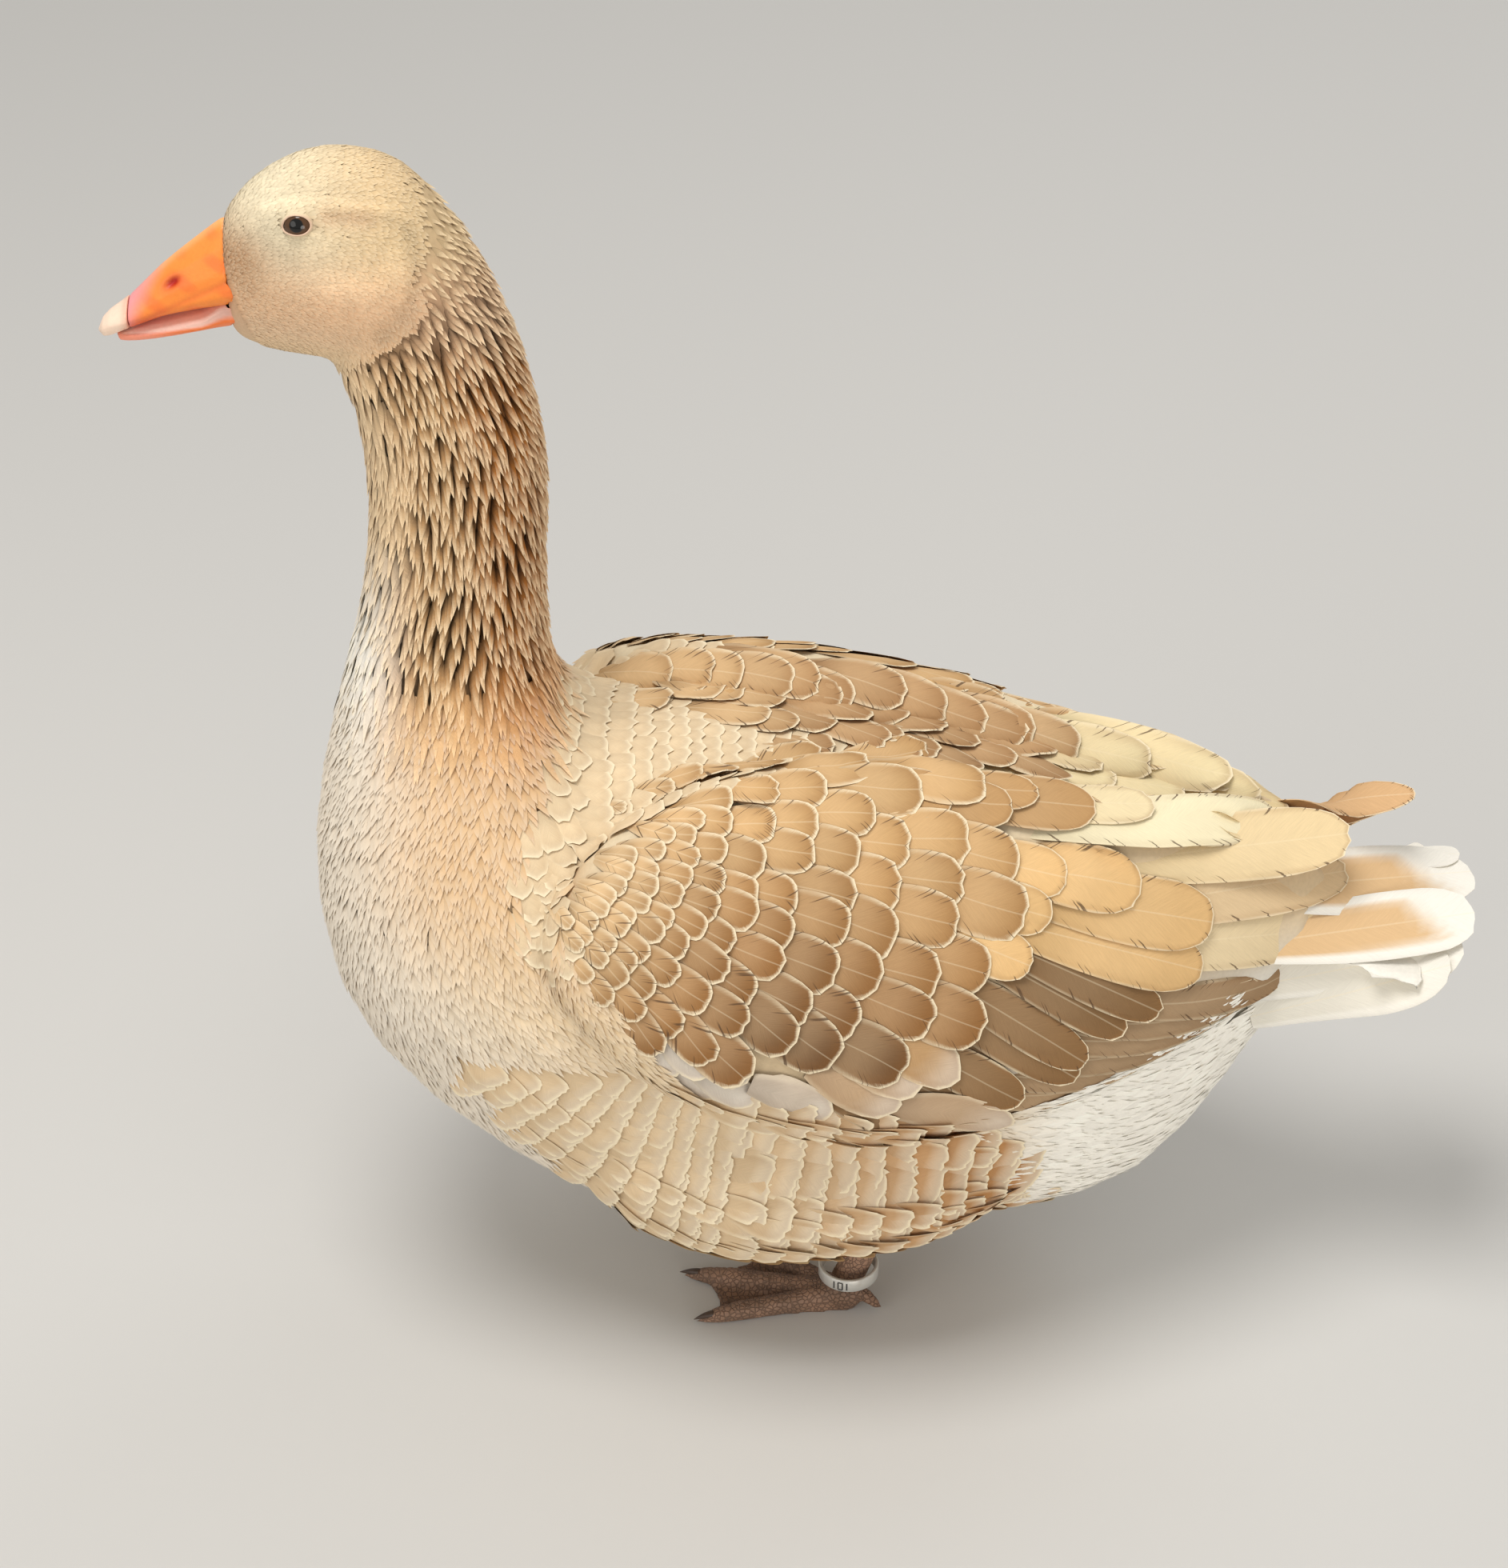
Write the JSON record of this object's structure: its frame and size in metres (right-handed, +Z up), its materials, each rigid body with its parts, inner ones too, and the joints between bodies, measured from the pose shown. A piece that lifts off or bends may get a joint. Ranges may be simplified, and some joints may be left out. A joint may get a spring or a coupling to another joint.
{
  "type": "domestic goose",
  "caption": "Life-size domestic goose of a buff breed, standing with upright neck and folded wings, with a band on its left leg.",
  "frame": {"origin": "on the floor, midway between the tip of the bill and the tip of the tail, in the goose's middle plane", "axes": "+Z up; the goose faces -Y; its left side is +X"},
  "size_m": [0.2718, 0.636, 0.6106],
  "materials": {
    "plumage": "soft matt contour feathers, cream to buff",
    "quill": "smooth vaned feathers, buff with pale edges",
    "tail": "white and buff vaned feathers",
    "bill": "waxy orange horn",
    "nail": "pale pink horn",
    "eye": "wet and glossy",
    "leg": "scaled skin, dusty orange",
    "band": "off-white, lightly scratched"
  },
  "bodies": {
    "root": {"head": "plumage", "neck_upper": "plumage", "neck_lower": "plumage", "trunk": "plumage", "bill_upper": "bill", "bill_nail": "nail", "bill_lower": "bill", "eye_left": "eye", "eye_right": "eye", "wing_left": "quill", "wing_right": "quill", "primaries_left": "quill", "primaries_right": "quill", "tail": "tail", "foot_left": "leg", "foot_right": "leg", "shank_left": "leg", "shank_right": "leg", "leg_band": "band"}
  },
  "joints": []
}
